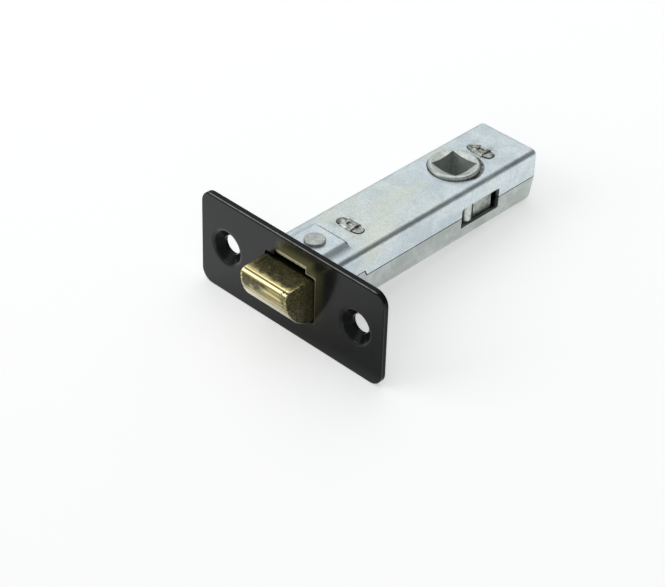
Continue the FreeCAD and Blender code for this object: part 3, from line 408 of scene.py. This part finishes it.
staked = steel(
    "staked_steel", (0.09, 0.10, 0.085), (0.58, 0.61, 0.56), 0.16, 0.34, (900.0, 900.0, 900.0), dents=0.0003
)
fork = steel("fork_steel", (0.22, 0.245, 0.22), (0.42, 0.46, 0.42), 0.28, 0.42, (900.0, 400.0, 1600.0))
rod = steel("rod_steel", (0.34, 0.35, 0.35), (0.52, 0.53, 0.53), 0.25, 0.4, (2400.0, 90.0, 2400.0))
spring_wire = steel("spring_steel", (0.26, 0.27, 0.28), (0.42, 0.43, 0.44), 0.22, 0.35)
looks = {
    "forend": black_paint(),
    "upper_case": zinc("zinc_upper", (0.69, 0.77, 0.80), (0.54, 0.625, 0.66), (0.69, 0.72, 0.61), upper=True),
    "lower_case": zinc("zinc_lower", (0.54, 0.585, 0.56), (0.38, 0.42, 0.405), (0.50, 0.52, 0.43)),
    "latch_bolt": bolt_brass(),
    "follower": cast_zinc(),
    "front_rivet": steel("rivet_steel", (0.36, 0.38, 0.36), (0.50, 0.53, 0.51), 0.34, 0.5),
    "retractor": fork,
    "guide_plate": staked,
    "rear_spacer": staked,
    "bolt_rod": rod,
    "rod_washer": rod,
    "rod_clip": spring_wire,
    "bolt_spring": spring_wire,
    "return_spring_left": spring_wire,
    "return_spring_right": spring_wire,
}
SHARP_ANGLE = math.radians(28.0)  # faces that meet at less than this are shaded as one
for node, material in looks.items():
    mesh = nodes[node].data
    mesh.materials.clear()
    mesh.materials.append(material)
    mesh.shade_smooth()
    mesh.set_sharp_from_angle(angle=SHARP_ANGLE)

# ---------------------------------------------------------------- springs
# A coil spring shortens towards its fixed end as the bolt is drawn back, and a CAD node can't. So a copy of its
# mesh, fixed to the case, stands for it.
for joint in frame["record"]["behaviour"]["joints"]:
    for spring in joint.get("deforming_nodes", []):
        node, fixed_end = spring["node"], spring["fixed_end_y_m"]
        coil = bpy.data.objects.new(node + "_coil", nodes[node].data.copy())
        scene.collection.objects.link(coil)
        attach(coil, "case")
        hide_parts(node)
        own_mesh(coil)

# ---------------------------------------------------------------- floor
# The latch lies on the forend's lower edge and on the lowest point of the case behind it.
forend_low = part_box("forend")[0].z
forend_back = FOREND_THICKNESS * MM
case_points = [v.co for node in nodes.values() for v in node.data.vertices if v.co.y > CASE_FRONT * MM]
tilt = min(math.atan2(co.z - forend_low, co.y - forend_back) for co in case_points)
stand = Matrix.Translation((0.0, forend_back, forend_low)) @ Matrix.Rotation(tilt, 4, "X")
FLOOR_HALF = 3.0
floor_mesh = bpy.data.meshes.new("floor")
around = ((-1.0, -1.0), (1.0, -1.0), (1.0, 1.0), (-1.0, 1.0))
corners = [stand @ Vector((FLOOR_HALF * a, FLOOR_HALF * b, 0.0)) for a, b in around]
floor_mesh.from_pydata(corners, [], [(0, 1, 2, 3)])
floor = bpy.data.objects.new("floor", floor_mesh)
scene.collection.objects.link(floor)

# The paper is pale near the latch and, to the camera, everywhere. Polished faces see it brighter than it is,
# apart from the shaded strip right in front of the forend.
PAPER_SEEN = 0.45
PAPER_MIRRORED = 0.62
STRIP = (33.0, -8.0, -13.2)
paper = Nodes("paper")
rays = paper.add("ShaderNodeLightPath").outputs
sheet = paper.ramp(paper.distance((0.0, 0.0, 0.0)), 450.0, 220.0, smooth=True)
shade = paper.mix(paper.most(sheet, rays["Is Camera Ray"]), (0.10, 0.10, 0.10), (0.80, 0.80, 0.80))
diffuse = paper.add("ShaderNodeBsdfDiffuse", {"Color": shade, "Roughness": 0.5})
behind_forend = paper.ramp(paper.places()["Y"], -4.0, 2.0)
beyond_strip = paper.most(paper.ramp(paper.distance(STRIP), 19.0, 62.0), behind_forend)
bounced = paper.most(rays["Is Glossy Ray"], rays["Is Transmission Ray"])
mirrored = paper.times(bounced, beyond_strip, sheet, PAPER_MIRRORED)
strength = paper.plus(mirrored, paper.times(rays["Is Camera Ray"], PAPER_SEEN))
glow = paper.add("ShaderNodeEmission", {"Color": (1.0, 1.0, 1.0, 1.0), "Strength": strength})
lit = paper.add("ShaderNodeAddShader", {0: diffuse.outputs[0], 1: glow.outputs[0]})
paper.tree.links.new(lit.outputs[0], paper.output.inputs["Surface"])
floor_mesh.materials.append(paper.material)

# ---------------------------------------------------------------- light
# A pale room that is darker towards the far right, where the case's bend and its right side look.
DARK_SIDE = Vector((0.84, 0.46, 0.28)).normalized()
world = bpy.data.worlds.new("studio")
scene.world = world
world.use_nodes = True
tree = world.node_tree
tree.nodes.clear()
sky = tree.nodes.new("ShaderNodeTexCoord")
dot = tree.nodes.new("ShaderNodeVectorMath")
dot.operation = "DOT_PRODUCT"
dot.inputs[1].default_value = DARK_SIDE
fade = tree.nodes.new("ShaderNodeMapRange")
fade.interpolation_type = "SMOOTHSTEP"
for key, value in {"From Min": 0.36, "From Max": 0.84, "To Min": 0.50, "To Max": 0.15}.items():
    fade.inputs[key].default_value = value
backdrop = tree.nodes.new("ShaderNodeBackground")
backdrop.inputs["Color"].default_value = (0.97, 0.985, 1.0, 1.0)
world_output = tree.nodes.new("ShaderNodeOutputWorld")
tree.links.new(sky.outputs["Generated"], dot.inputs[0])
tree.links.new(dot.outputs["Value"], fade.inputs["Value"])
tree.links.new(fade.outputs[0], backdrop.inputs["Strength"])
tree.links.new(backdrop.outputs[0], world_output.inputs["Surface"])
LAMP_AIM = Vector((0.0, 0.03, 0.0))


def softbox(name, direction, distance, size, radiance):
    """An area lamp at a distance from the latch, turned to face it."""
    lamp = bpy.data.lights.new(name, "AREA")
    lamp.shape = "RECTANGLE"
    lamp.size, lamp.size_y = size
    lamp.energy = radiance * math.pi * size[0] * size[1]
    box = bpy.data.objects.new(name, lamp)
    towards = Vector(direction).normalized()
    box.location = LAMP_AIM + towards * distance
    box.rotation_euler = towards.to_track_quat("Z", "Y").to_euler()
    scene.collection.objects.link(box)


softbox("overhead", (-0.15, 0.20, 1.0), 0.9, (0.8, 0.8), 0.8)
softbox("back_left", (-0.548, 0.581, 0.601), 1.0, (0.9, 0.7), 0.55)
softbox("front_left", (-0.55, -0.60, 0.58), 0.9, (0.6, 0.6), 1.5)
